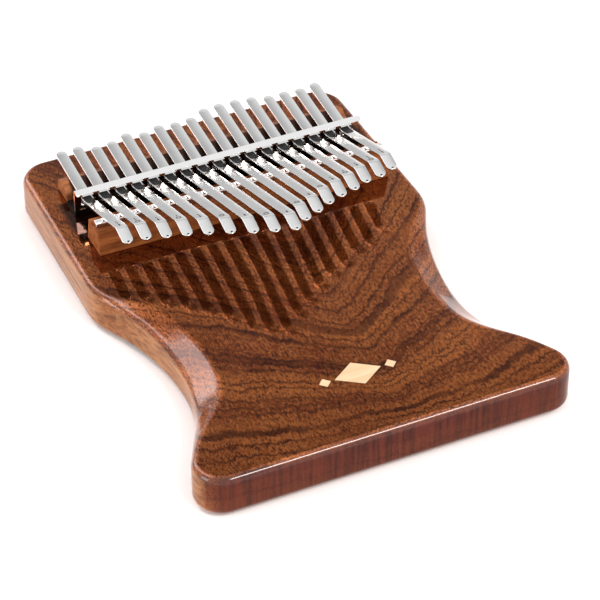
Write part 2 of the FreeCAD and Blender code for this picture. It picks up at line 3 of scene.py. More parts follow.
import bmesh
import bpy
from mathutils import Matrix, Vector


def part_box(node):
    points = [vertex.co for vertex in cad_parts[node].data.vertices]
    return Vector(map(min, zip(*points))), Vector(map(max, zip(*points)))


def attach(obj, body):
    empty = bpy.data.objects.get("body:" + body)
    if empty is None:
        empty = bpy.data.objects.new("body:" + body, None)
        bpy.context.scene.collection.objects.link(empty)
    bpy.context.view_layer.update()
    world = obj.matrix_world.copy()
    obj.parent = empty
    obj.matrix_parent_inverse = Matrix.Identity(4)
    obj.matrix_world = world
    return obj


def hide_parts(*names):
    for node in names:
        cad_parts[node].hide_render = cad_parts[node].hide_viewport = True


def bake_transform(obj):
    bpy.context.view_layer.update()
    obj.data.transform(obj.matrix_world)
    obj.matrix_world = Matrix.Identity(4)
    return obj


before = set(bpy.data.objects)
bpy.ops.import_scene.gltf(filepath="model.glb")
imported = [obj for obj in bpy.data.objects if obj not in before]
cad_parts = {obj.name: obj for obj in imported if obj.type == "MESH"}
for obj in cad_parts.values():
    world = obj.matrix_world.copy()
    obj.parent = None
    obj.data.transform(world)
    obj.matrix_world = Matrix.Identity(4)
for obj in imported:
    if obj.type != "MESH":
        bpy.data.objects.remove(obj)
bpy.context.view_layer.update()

MM = 0.001
ROOT = "instrument"

# ------------------------------------------------------------------ sizes, in millimetres
# The player's end is at negative y and the ground is at z = 0.
_, board_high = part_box("board")
TOP = board_high.z / MM                         # height of the played face
HALF_LENGTH = board_high.y / MM

# The board's outline on its right side: half widths, radii and the waist's place.
FRONT_HALF, FRONT_R = 76.0, 11.0
WAIST_HALF, WAIST_R, WAIST_REAR_R, WAIST_Y = 57.4, 70.0, 100.0, -37.7
SHOULDER_HALF, SHOULDER_R = 72.4, 26.0
REAR_HALF, REAR_R = 71.4, 12.0
OUTLINE_STEP, OUTLINE_TURN = 1.2, 0.09          # about the longest step, as length and angle
SAME_POINT = 0.05                               # points closer than this are one

# The board's rims, and the hand bevel that the upper rim opens into at each waist.
TOP_EDGE, BOTTOM_EDGE = 3.0, 4.0                # radii of the two rims
TOP_STEPS, BOTTOM_STEPS, BEVEL_STEPS = 14, 8, 12
BEVEL_WIDTH, BEVEL_DROP = 7.3, 5.0              # what the bevel adds to the rim
BEVEL_EASE = 1.6                                # height left for its lower rounding
BEVEL_INNER_R, BEVEL_OUTER_R = 7.0, 3.2
# Where along y the bevel's shape, width and drop grow, and where they fade again.
SHAPE_SPAN = (-92, -52), (-14, 16)
WIDTH_SPAN = (-93, -48), (-2, 17)
DROP_SPAN = (-92, -58), (-50, 2)

# The bridges, the bracket and the tines.
HARDWARE_SHIFT = 1.7                            # to the right of the board's middle
TINES, MIDDLE_TINE, PITCH = 17, 9, 7.1
TINE_WIDTH, TINE_THICK, TINE_EDGE = 4.6, 1.0, 0.16
CLAMP_Y, CLAMP_LIFT = 62.7, 6.05                # a tine's lowest place, under the bracket
TIP_PART = 7.7                                  # length of the bent tip along y
FRONT_ANGLE, REAR_ANGLE, TIP_ANGLE = 17.9, 5.2, 17.0
CLAMP_BEND, TIP_BEND = 12.0, 2.0                # radii of the two bends
PATH_STEP, PATH_TURN = 0.6, 0.06                # about the longest step along a tine
END_STEPS, EDGE_STEPS = 10, 3
END_GAP = 0.1                                   # clear of the round ends' own stations

# Marks on the tines: the half length and half width of each kind, and their places, which are
# measured from the tip for the tip's dot and from the crease for the others. The tip's dot is a
# plain dark spot, the same on every tine; the others are tuning marks.
TIP_DOT, RING, BAR, DOT = (0.36, 0.48), (1.05, 1.05), (1.10, 0.30), (0.36, 0.36)
TIP_DOT_PLACE, MARK_PLACE, DOT_PLACE, LAST_DOT_PLACE = 0.80, 2.6, 4.9, 6.6
MARK_LIFT, MARK_LINE, MARK_SIDES = 0.02, 0.34, 20

# The lozenges: half length of the large one, half length of the small ones.
LOZENGE_HALF, SMALL_HALF, INLAY_LIFT = 9.5, 2.4, 0.03

# Zones whose colour is painted dark in the materials: a painted dark reflection on each tine (its
# half width is in pitches), painted shade on the rear bridge in front of a line and on the board
# between the bridges, and the bracket's dark foot.
TINE_SHADE_Y, TINE_SHADE_REACH, TINE_SHADE_HALF = 61.6, 4.3, 0.27
WEDGE_SHADE_Y, WEDGE_SHADE_HALF = 78.6, 60.0
SHADE_START, SHADE_END, SHADE_HALF = 45.5, 73.5, 67.5
DULL_FOOT = 3.0


# ------------------------------------------------------------------ helpers for geometry
def link(name, bm, smooth=True):
    """A scene object from a bmesh, which is freed."""
    mesh = bpy.data.meshes.new(name)
    bmesh.ops.recalc_face_normals(bm, faces=bm.faces[:])
    bm.to_mesh(mesh)
    bm.free()
    for face in mesh.polygons:
        face.use_smooth = smooth
    obj = bpy.data.objects.new(name, mesh)
    bpy.context.scene.collection.objects.link(obj)
    return obj


def join_rings(bm, first, second):
    """Quads between two closed rings of vertices."""
    count = len(first)
    return [bm.faces.new((first[i], first[(i + 1) % count], second[(i + 1) % count], second[i]))
            for i in range(count)]


def smoothstep(a, b, x):
    t = min(max((x - a) / (b - a), 0.0), 1.0)
    return t * t * (3 - 2 * t)


def swell(y, height, span):
    """Grows from 0 to height over the first part of span and fades over the second."""
    rise, fall = span
    return height * smoothstep(*rise, y) * (1 - smoothstep(*fall, y))


def between(a, b, t):
    """The point a share t of the way from a to b."""
    return tuple(p + (q - p) * t for p, q in zip(a, b))


def distances(points):
    """Distance along the path to each of its points."""
    lengths = [0.0]
    for a, b in zip(points, points[1:]):
        lengths.append(lengths[-1] + math.dist(a, b))
    return lengths


# ------------------------------------------------------------------ helpers for materials
class Graph:
    """A small wrapper that makes node graphs short to write."""

    def __init__(self, tree):
        self.tree = tree

    def put(self, kind, settings=None, **inputs):
        """A new node with these settings and inputs, where _ in a name stands for a space."""
        node = self.tree.nodes.new("ShaderNode" + kind)
        for key, value in (settings or {}).items():
            setattr(node, key, value)
        for key, value in inputs.items():
            self.feed(node, key.replace("_", " "), value)
        return node

    def feed(self, node, key, value):
        """Links a socket to one of the node's inputs, or sets that input to a constant."""
        if isinstance(value, bpy.types.NodeSocket):
            self.tree.links.new(value, node.inputs[key])
        else:
            node.inputs[key].default_value = value

    def math(self, operation, *values, clamp=False):
        node = self.put("Math", {"operation": operation, "use_clamp": clamp})
        for place, value in enumerate(values):
            self.feed(node, place, value)
        return node.outputs[0]

    def beyond(self, a, b, slope):
        """0 until a passes b, then rising with this slope to 1."""
        return self.math("MULTIPLY", self.math("SUBTRACT", a, b), slope, clamp=True)

    def scaled(self, value, factor, offset):
        return self.math("ADD", self.math("MULTIPLY", value, factor), offset)

    def vector_math(self, operation, a, b):
        node = self.put("VectorMath", {"operation": operation})
        self.feed(node, 0, a)
        self.feed(node, 1, b)
        return node.outputs[0]

    def split(self, vector):
        return tuple(self.put("SeparateXYZ", Vector=vector).outputs)

    def mix(self, factor, a, b):
        """Colour a where factor is 0, colour b where it is 1."""
        node = self.put("Mix", {"data_type": "RGBA", "clamp_factor": True})
        for key, value in ((0, factor), (6, a), (7, b)):
            self.feed(node, key, value)
        return node.outputs[2]

    def ramp(self, value, stops):
        """Colours along value, from (place, colour) stops."""
        node = self.put("ValToRGB", Fac=value)
        elements = node.color_ramp.elements
        while len(elements) < len(stops):
            elements.new(0.5)
        for element, (place, colour) in zip(elements, stops):
            element.position = place
            element.color = colour if len(colour) == 4 else (*colour, 1)
        return node.outputs[0]

    def grey(self, value, *stops):
        """Grey levels along value, from (place, level) stops."""
        return self.ramp(value, [(place, (level,) * 3) for place, level in stops])

    def noise(self, vector, scale, detail, roughness=0.6, stretch=None):
        """A noise texture, with its coordinates multiplied by stretch on each axis."""
        if stretch:
            vector = self.put("Mapping", Vector=vector, Scale=stretch).outputs[0]
        return self.put("TexNoise", Vector=vector, Scale=scale, Detail=detail, Roughness=roughness)


class Material(Graph):
    """The graph of a new material, with one Principled shader."""

    def __init__(self, name):
        self.material = bpy.data.materials.new(name)
        self.material.use_nodes = True
        super().__init__(self.material.node_tree)
        self.tree.nodes.clear()
        output = self.put("OutputMaterial")
        self.shader = self.put("BsdfPrincipled")
        self.feed(output, "Surface", self.shader.outputs[0])

    def set(self, **values):
        for key, value in values.items():
            self.feed(self.shader, key.replace("_", " "), value)

    def bump(self, height, strength, distance):
        node = self.put("Bump", Strength=strength, Distance=distance, Height=height)
        self.feed(self.shader, "Normal", node.outputs[0])


def srgb(r, g, b):
    """Linear colour from 0 to 255 screen values."""
    def one(v):
        v /= 255
        return v / 12.92 if v <= 0.04045 else ((v + 0.055) / 1.055) ** 2.4
    return (one(r), one(g), one(b), 1)


# ------------------------------------------------------------------ board
def on_circle(centre, radius, angle):
    return (centre[0] + radius * math.cos(angle), centre[1] + radius * math.sin(angle))


def tangent_line(c1, r1, c2, r2, inner):
    """Angle of the normal of a line that touches both circles."""
    dx, dy = c2[0] - c1[0], c2[1] - c1[1]
    return math.atan2(dy, dx) - math.acos((r1 + r2 if inner else r1 - r2) / math.hypot(dx, dy))


def outline():
    """Points and outward normals of the right half, from the front middle to the rear middle.

    It repeats the tangent lines and arcs of the CAD board.
    """
    front = (FRONT_HALF - FRONT_R, FRONT_R - HALF_LENGTH)
    waist = (WAIST_HALF + WAIST_R, WAIST_Y)
    rear_waist = (WAIST_HALF + WAIST_REAR_R, WAIST_Y)
    spread = WAIST_REAR_R + SHOULDER_R
    across = spread - (SHOULDER_HALF - WAIST_HALF)
    shoulder = (SHOULDER_HALF - SHOULDER_R, WAIST_Y + math.sqrt(spread ** 2 - across ** 2))
    rear = (REAR_HALF - REAR_R, HALF_LENGTH - REAR_R)
    flare = tangent_line(front, FRONT_R, waist, WAIST_R, True)
    bend = math.atan2(rear_waist[1] - shoulder[1], rear_waist[0] - shoulder[0])
    flank = tangent_line(shoulder, SHOULDER_R, rear, REAR_R, False)
    points = []

    def arc(centre, radius, a, b, sign=1):
        turn = abs(b - a)
        count = max(6, int(turn * radius / OUTLINE_STEP), int(turn / OUTLINE_TURN))
        for i in range(count + 1):
            t = a + (b - a) * i / count
            points.append((*on_circle(centre, radius, t), sign * math.cos(t), sign * math.sin(t)))

    def line(a, b, normal):
        count = max(2, int(math.dist(a, b) / OUTLINE_STEP))
        for i in range(1, count):
            points.append((*between(a, b, i / count), *normal))

    points.append((0, -HALF_LENGTH, 0, -1))
    line((0, -HALF_LENGTH), (front[0], -HALF_LENGTH), (0, -1))
    arc(front, FRONT_R, -math.pi / 2, flare)
    line(on_circle(front, FRONT_R, flare), on_circle(waist, WAIST_R, flare + math.pi),
         (math.cos(flare), math.sin(flare)))
    arc(waist, WAIST_R, flare + math.pi, math.pi, -1)
    arc(rear_waist, WAIST_REAR_R, math.pi, bend + math.pi, -1)
    arc(shoulder, SHOULDER_R, bend, flank)
    line(on_circle(shoulder, SHOULDER_R, flank), on_circle(rear, REAR_R, flank),
         (math.cos(flank), math.sin(flank)))
    arc(rear, REAR_R, flank, math.pi / 2)
    line((rear[0], HALF_LENGTH), (0, HALF_LENGTH), (0, 1))
    points.append((0, HALF_LENGTH, 0, 1))
    clean = [points[0]]
    for point in points[1:]:
        if math.dist(point[:2], clean[-1][:2]) > SAME_POINT:
            clean.append(point)
    return clean


def quarter_round(radius, steps):
    """A rim of this radius, from the face to the side, as (inset, depth)."""
    turns = [math.pi / 2 * i / steps for i in range(steps + 1)]
    return [(radius * (1 - math.sin(a)), radius * (1 - math.cos(a))) for a in turns]


def evenly_spaced(path, count):
    """The ends of count equal parts of a path."""
    lengths = distances(path)
    result = []
    for i in range(count + 1):
        want = lengths[-1] * i / count
        j = max(k for k in range(len(path)) if lengths[k] <= want + 1e-9)
        if j == len(path) - 1:
            result.append(path[-1])
        else:
            t = (want - lengths[j]) / (lengths[j + 1] - lengths[j])
            result.append(between(path[j], path[j + 1], t))
    return result


def rounded_chamfer(width, drop):
    """Played face to side over a flat slope with both its edges rounded, as (inset, z).

    Each rounding is smaller where it would take too large a share of the slope.
    """
    angle = math.atan2(drop, width)
    inner_reach = min(BEVEL_INNER_R * math.tan(angle / 2), width * 0.3)
    inner_r = inner_reach / math.tan(angle / 2)
    turn = math.pi / 2 - angle
    outer_reach = min(BEVEL_OUTER_R * math.tan(turn / 2), math.hypot(width, drop) * 0.5)
    outer_r = outer_reach / math.tan(turn / 2)
    path = []
    for i in range(BEVEL_STEPS + 1):
        a = angle * i / BEVEL_STEPS
        path.append((width + inner_reach - inner_r * math.sin(a), -inner_r * (1 - math.cos(a))))
    for i in range(BEVEL_STEPS + 1):
        a = angle + turn * i / BEVEL_STEPS
        path.append((outer_r * (1 - math.sin(a)), -drop - outer_reach + outer_r * math.cos(a)))
    return evenly_spaced(path, TOP_STEPS)


def top_profile(y):
    """Played face to side at y: a plain round, which opens into the hand bevel at the waist."""
    amount = swell(y, 1, SHAPE_SPAN)
    width = TOP_EDGE + swell(y, BEVEL_WIDTH, WIDTH_SPAN)
    drop = TOP_EDGE + swell(y, BEVEL_DROP, DROP_SPAN)
    chamfer = rounded_chamfer(width, drop - BEVEL_EASE * amount)
    round_over = [(inset, -depth) for inset, depth in quarter_round(TOP_EDGE, TOP_STEPS)]
    return [tuple(a[k] * (1 - amount) + b[k] * amount for k in (0, 1))
            for a, b in zip(round_over, chamfer)]


def build_board():
    """One shell: a profile from the underside up to the played face, carried round the outline."""
    right = outline()
    ring = right + [(-x, y, -nx, ny) for x, y, nx, ny in reversed(right[1:-1])]
    bm = bmesh.new()
    rows = []
    for x, y, nx, ny in ring:
        profile = quarter_round(BOTTOM_EDGE, BOTTOM_STEPS)
        profile += [(inset, TOP + z) for inset, z in reversed(top_profile(y))]
        rows.append([bm.verts.new(((x - nx * inset) * MM, (y - ny * inset) * MM, z * MM))
                     for inset, z in profile])
    for a, b in zip(rows, rows[1:] + rows[:1]):
        for j in range(len(a) - 1):
            bm.faces.new((a[j], b[j], b[j + 1], a[j + 1]))
    bm.faces.new([row[0] for row in reversed(rows)])
    bm.faces.new([row[-1] for row in rows])
    return link("board_shell", bm)


# ------------------------------------------------------------------ wood
def offset_noise(n, vector, scale, stretch, size, detail):
    """A noise vector from -size to size on each axis, from stretched coordinates."""
    noise = n.noise(vector, scale, detail, 0.55, stretch)
    centred = n.vector_math("SUBTRACT", noise.outputs["Color"], (0.5, 0.5, 0.5))
    return n.vector_math("MULTIPLY", centred, tuple(2 * v for v in size))


def noise_mask(n, vector, scale, stretch, low, high, detail=3.0, roughness=0.55):
    """Stretched noise as a soft mask from 0 to 1 between two levels."""
    noise = n.noise(vector, scale, detail, roughness, stretch)
    return n.grey(noise.outputs["Fac"], (low, 0.0), (high, 1.0))


def wavering(n, pos):
    """Coordinates that wander slowly, ripple and jag, so that no growth line runs smooth."""
    moved = pos
    for scale, stretch, size, detail in (
            (19.0, (1.0, 0.8, 1.0), (0.006, 0.007, 0.002), 2.0),
            (120.0, (1.0, 0.45, 1.0), (0.0008, 0.0026, 0.0), 2.0),
            (640.0, (1.0, 0.4, 1.0), (0.0006, 0.0024, 0.0), 3.0)):
        moved = n.vector_math("ADD", moved, offset_noise(n, pos, scale, stretch, size, detail))
    return moved


def arches(n, vector):
    """A value that grows rearwards and is level along arches that open to the rear."""
    axis_x, crown, opening, steepness, tilt = 0.012, 0.00004, 14.4, 1.65, 0.8
    x, y, z = n.split(vector)
    x = n.math("SUBTRACT", x, axis_x)
    reach = n.math("SQRT", n.math("ADD", n.math("MULTIPLY", x, x), crown))
    widening = n.math("ADD", 1.0, n.math("MULTIPLY", reach, opening))
    arch = n.math("DIVIDE", n.math("SUBTRACT", y, n.math("MULTIPLY", reach, steepness)), widening)
    return n.math("ADD", arch, n.math("MULTIPLY", z, tilt))


def growth_lines(n, pos, arch):
    """Masks of the dark growth lines and of the bands where finer lines crowd between them.

    Forty whole lines are added so that the fraction is taken of a positive number.
    """
    lines_per_metre, unevenness, fine_lines = 175.0, 6.0, 3.3
    uneven, clusters = (
        n.put("TexNoise", {"noise_dimensions": "1D"}, W=n.math("MULTIPLY", arch, scale),
              Scale=1.0, Detail=detail).outputs["Fac"]
        for scale, detail in ((55.0, 2.0), (62.0, 1.0)))
    band = n.grey(clusters, (0.42, 0.0), (0.58, 1.0))
    spacing = n.math("ADD", n.math("MULTIPLY", arch, lines_per_metre),
                     n.math("MULTIPLY", uneven, unevenness))
    line = n.grey(n.math("FRACT", n.math("ADD", spacing, 40.0)), (0.0, 0.70), (0.06, 1.0),
                  (0.15, 0.25), (0.34, 0.0), (0.82, 0.10), (1.0, 0.70))
    fine_line = n.grey(n.math("FRACT", n.math("MULTIPLY", spacing, fine_lines)), (0.0, 0.6),
                       (0.16, 0.0), (0.76, 0.0), (1.0, 0.6))
    strength = noise_mask(n, pos, 60.0, (1.0, 0.6, 1.0), 0.36, 0.62)
    line = n.math("MULTIPLY", line, n.scaled(strength, 0.5, 0.5))
    return n.math("MAXIMUM", line, n.math("MULTIPLY", fine_line, band)), band


def face_grain(n, pos, pores, lines, band):
    """The long grain's colour: clouds and flecks, then pores and growth lines over them."""
    flecks = noise_mask(n, pos, 1700.0, (1.0, 0.25, 1.0), 0.47, 0.57, 3.0, 0.65)
    cloud = noise_mask(n, pos, 34.0, (1.0, 0.5, 1.0), 0.30, 0.70)
    flecks = n.math("MULTIPLY", flecks, n.scaled(cloud, 0.5, 0.5))
    tone = n.math("SUBTRACT", n.scaled(cloud, 0.45, 0.55), n.math("MULTIPLY", band, 0.55),
                  clamp=True)
    colour = n.mix(tone, srgb(104, 46, 21), srgb(160, 91, 44))
    colour = n.mix(n.math("MULTIPLY", flecks, 0.65), colour, srgb(176, 108, 60))
    dark_pores = n.math("MULTIPLY", n.math("SUBTRACT", 1.0, pores), 0.85)
    colour = n.mix(dark_pores, colour, srgb(54, 20, 9))
    return n.mix(lines, colour, srgb(44, 10, 5))


def edge_grain(n, pos, normal_x, normal_y, colour):
    """Colour, with reddish end grain on the front face and paler long grain on the sides."""
    front = n.beyond(n.math("MULTIPLY", normal_y, -1.0), 0.45, 2.2)
    streaks = noise_mask(n, pos, 620.0, (1.0, 1.0, 0.05), 0.38, 0.62)
    end_grain = n.mix(streaks, srgb(54, 18, 12), srgb(86, 33, 21))
    colour = n.mix(n.math("MULTIPLY", front, 0.85), colour, end_grain)
    side = n.beyond(n.math("ABSOLUTE", normal_x), 0.80, 6.0)
    lengthwise = noise_mask(n, pos, 700.0, (1.0, 0.05, 1.0), 0.38, 0.62)
    flank = n.mix(lengthwise, srgb(128, 82, 50), srgb(172, 122, 80))
    return n.mix(n.math("MULTIPLY", side, 0.75), colour, flank)


def from_hardware_middle(n, x):
    """Distance across the board from the middle tine."""
    return n.math("ABSOLUTE", n.math("SUBTRACT", x, HARDWARE_SHIFT * MM))


def shade_between_bridges(n, pos):
    """Mask of the strip under the tines, between the front and rear bridges, where shade is
    painted onto the board.
    """
    x, y, _ = n.split(pos)
    past_bridge = n.beyond(y, SHADE_START * MM, 700.0)
    before_wedge = n.beyond(SHADE_END * MM, y, 700.0)
    within = n.beyond(SHADE_HALF * MM, from_hardware_middle(n, x), 400.0)
    return n.math("MULTIPLY", n.math("MULTIPLY", past_bridge, before_wedge), within)


def board_wood():
    """Reddish brown figured wood: cathedral growth lines and pore dashes under clear lacquer, with
    painted shade on the strip under the tines.
    """
    n = Material("lacquered_board_wood")
    coords = n.put("TexCoord")
    pos = coords.outputs["Object"]
    normal_x, normal_y, normal_z = n.split(coords.outputs["Normal"])
    moved = wavering(n, pos)
    pores = noise_mask(n, moved, 2600.0, (1.0, 0.25, 1.0), 0.40, 0.50, 2.0)
    lines, band = growth_lines(n, pos, arches(n, moved))
    colour = face_grain(n, pos, pores, lines, band)
    colour = edge_grain(n, pos, normal_x, normal_y, colour)
    top = n.beyond(normal_z, 0.97, 34.0)
    # Painted shade: the top face between the bridges is darkened almost to black, for the shade
    # under the tines and bracket.
    strip_shade = n.math("MULTIPLY", n.math("MULTIPLY", top, shade_between_bridges(n, pos)), 0.9)
    colour = n.mix(strip_shade, colour, srgb(20, 9, 6))
    gloss = n.grey(n.math("ABSOLUTE", normal_z), (0.0, 0.15), (0.20, 0.45), (0.45, 1.0),
                   (0.93, 1.0), (0.99, 0.10))
    n.set(Base_Color=colour, Metallic=n.math("MULTIPLY", top, 0.80), Roughness=0.07,
          Specular_IOR_Level=0.05, Coat_Weight=gloss, Coat_Roughness=0.09, Coat_IOR=1.5)
    n.bump(pores, 0.008, 0.0002)
    return n.material


def satin_wood(name, light, dark, grain=420.0, shaded_before=None):
    """Unlacquered wood; with a line given, painted shade darkens what lies in front of that line.
    """
    n = Material(name)
    pos = n.put("TexCoord").outputs["Object"]
    along_x = (0.10, 1.0, 1.0)
    tone = noise_mask(n, pos, grain, along_x, 0.3, 0.7, 4.0, 0.6)
    pore = noise_mask(n, pos, grain * 5, along_x, 0.34, 0.48, 2.0, 0.5)
    colour = n.mix(tone, dark, light)
    colour = n.mix(n.math("MULTIPLY", n.math("SUBTRACT", 1.0, pore), 0.5), colour, dark)
    # Painted shade on the rear bridge's front face, which the light does not reach.
    if shaded_before is not None:
        x, y, _ = n.split(pos)
        painted_dark = n.math("MULTIPLY", n.beyond(shaded_before * MM, y, 900.0),
                       n.beyond(WEDGE_SHADE_HALF * MM, from_hardware_middle(n, x), 900.0))
        colour = n.mix(n.math("MULTIPLY", painted_dark, 0.92), colour, srgb(18, 9, 6))
    n.set(Base_Color=colour, Roughness=0.6, Specular_IOR_Level=0.12)
    n.bump(pore, 0.12, 0.0002)
    return n.material


# ------------------------------------------------------------------ metal
def tine_dark_reflection(n, pos):
    """Mask of the middle of each tine where it passes through the bracket, where a dark reflection
    is painted.

    Twenty whole pitches are added so that the fraction is taken of a positive number.
    """
    x, y, _ = n.split(pos)
    step = n.math("DIVIDE", n.math("SUBTRACT", x, HARDWARE_SHIFT * MM), PITCH * MM)
    across = n.math("SUBTRACT", n.math("FRACT", n.math("ADD", step, 20.5)), 0.5)
    across = n.math("DIVIDE", n.math("ABSOLUTE", across), TINE_SHADE_HALF)
    along = n.math("DIVIDE", n.math("SUBTRACT", y, TINE_SHADE_Y * MM), TINE_SHADE_REACH * MM)
    spread = n.math("ADD", n.math("POWER", across, 4.0),
                    n.math("POWER", n.math("ABSOLUTE", along), 4.0))
    return n.beyond(1.0, spread, 5.0)


def metal(name, colour, roughness, scratch=(1.0, 1.0, 1.0), grain=0.05, painted_dark=False):
    """Polished or brushed metal: fine scratches in bump and a little roughness variation.

    When asked for, each tine is painted black where it passes through the bracket, but for its
    bare edges: a painted dark reflection of the shade under the bracket.
    """
    n = Material(name)
    pos = n.put("TexCoord").outputs["Object"]
    fine = n.noise(pos, 2600.0, 3.0, stretch=scratch).outputs["Fac"]
    smear = n.noise(pos, 90.0, 3.0).outputs["Fac"]
    rough = n.scaled(smear, roughness * 0.8, roughness * 0.6)
    tint = n.ramp(smear, [(0.3, tuple(c * 0.93 for c in colour)), (0.7, colour)])
    if painted_dark:
        # Painted dark reflection: each tine black where it passes under the bracket's lip, but for
        # its edges.
        dark_reflection = tine_dark_reflection(n, pos)
        tint = n.mix(dark_reflection, tint, (0.012, 0.010, 0.009, 1))
        rough = n.math("ADD", rough, n.math("MULTIPLY", dark_reflection, 0.3))
    n.set(Base_Color=tint, Metallic=1.0, Roughness=rough)
    n.bump(fine, grain, 0.0001)
    return n.material


def bracket_chrome():
    """Mirror chrome, with a dull dark foot up to a set height above the board's face."""
    n = Material("bracket_chrome")
    pos = n.put("TexCoord").outputs["Object"]
    smear = n.noise(pos, 140.0, 3.0).outputs["Fac"]
    foot = n.math("LESS_THAN", n.split(pos)[2], (TOP + DULL_FOOT) * MM)
    bright = n.mix(smear, (0.88, 0.87, 0.86, 1), (0.95, 0.94, 0.93, 1))
    dull = n.mix(smear, (0.010, 0.009, 0.008, 1), (0.05, 0.045, 0.04, 1))
    rough = n.math("ADD", n.math("MULTIPLY", smear, 0.10), n.math("MULTIPLY", foot, 0.4))
    n.set(Base_Color=n.mix(foot, bright, dull), Metallic=1.0, Roughness=rough)
    n.bump(smear, 0.02, 0.0002)
    return n.material


# ------------------------------------------------------------------ tines
def bent_path(corners, radii):
    """Points and directions along straight runs joined by arcs, in the (y, z) plane."""
    path = []

    def add(point, direction):
        if not path or math.dist(path[-1][0], point) > 1e-6:
            path.append((point, direction))

    def run(a, b, direction):
        count = max(1, int(math.dist(a, b) / PATH_STEP))
        for k in range(count + 1):
            add(between(a, b, k / count), direction)

    def unit(a, b):
        length = math.dist(a, b)
        return ((b[0] - a[0]) / length, (b[1] - a[1]) / length)

    here = corners[0]
    for before, corner, after, radius in zip(corners, corners[1:], corners[2:], radii):
        into, out = unit(before, corner), unit(corner, after)
        turn = math.atan2(into[0] * out[1] - into[1] * out[0],
                          into[0] * out[0] + into[1] * out[1])
        reach = radius * math.tan(abs(turn) / 2)
        start = (corner[0] - into[0] * reach, corner[1] - into[1] * reach)
        run(here, start, into)
        side = 1 if turn > 0 else -1
        centre = (start[0] - into[1] * radius * side, start[1] + into[0] * radius * side)
        ry, rz = start[0] - centre[0], start[1] - centre[1]
        pieces = max(4, int(abs(turn) / PATH_TURN))
        for k in range(1, pieces + 1):
            cos, sin = math.cos(turn * k / pieces), math.sin(turn * k / pieces)
            add((centre[0] + ry * cos - rz * sin, centre[1] + ry * sin + rz * cos),
                (into[0] * cos - into[1] * sin, into[0] * sin + into[1] * cos))
        here = path[-1][0]
    run(here, corners[-1], unit(corners[-2], corners[-1]))
    return path


def tine_path(number):
    """A tine's middle line: down from its rear end to the bracket, up again, and the bent tip."""
    _, root_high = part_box("tine_%02d_root" % number)
    tongue_low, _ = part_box("tine_%02d_tongue" % number)
    tip_y = tongue_low.y / MM
    rear_y = root_high.y / MM
    front, rear, tip = (math.radians(a) for a in (FRONT_ANGLE, REAR_ANGLE, TIP_ANGLE))
    clamp_z = TOP + CLAMP_LIFT + 0.5 * TINE_THICK / math.cos((front + rear) / 2)
    bend_y = tip_y + TIP_PART
    bend_z = clamp_z + (CLAMP_Y - bend_y) * math.tan(front)
    corners = [(rear_y, clamp_z + (rear_y - CLAMP_Y) * math.tan(rear)), (CLAMP_Y, clamp_z),
               (bend_y, bend_z), (tip_y, bend_z - TIP_PART * math.tan(tip))]
    return bent_path(corners, [CLAMP_BEND, TIP_BEND])


def tine_marks(number):
    """A dot at the tip and a generic tuning mark, a ring or a bar, just behind the crease.

    Each is (distance from the tip, (half length, half width), hollow).
    """
    steps = abs(number - MIDDLE_TINE)
    marks = [(TIP_DOT_PLACE, TIP_DOT, False)]
    if steps % 2:
        marks.append((TIP_PART + MARK_PLACE, RING, True))
    else:
        marks.append((TIP_PART + MARK_PLACE, BAR, False))
    if steps > 3:
        marks.append((TIP_PART + DOT_PLACE, DOT, False))
    if steps > 6:
        marks.append((TIP_PART + LAST_DOT_PLACE, DOT, False))
    return marks


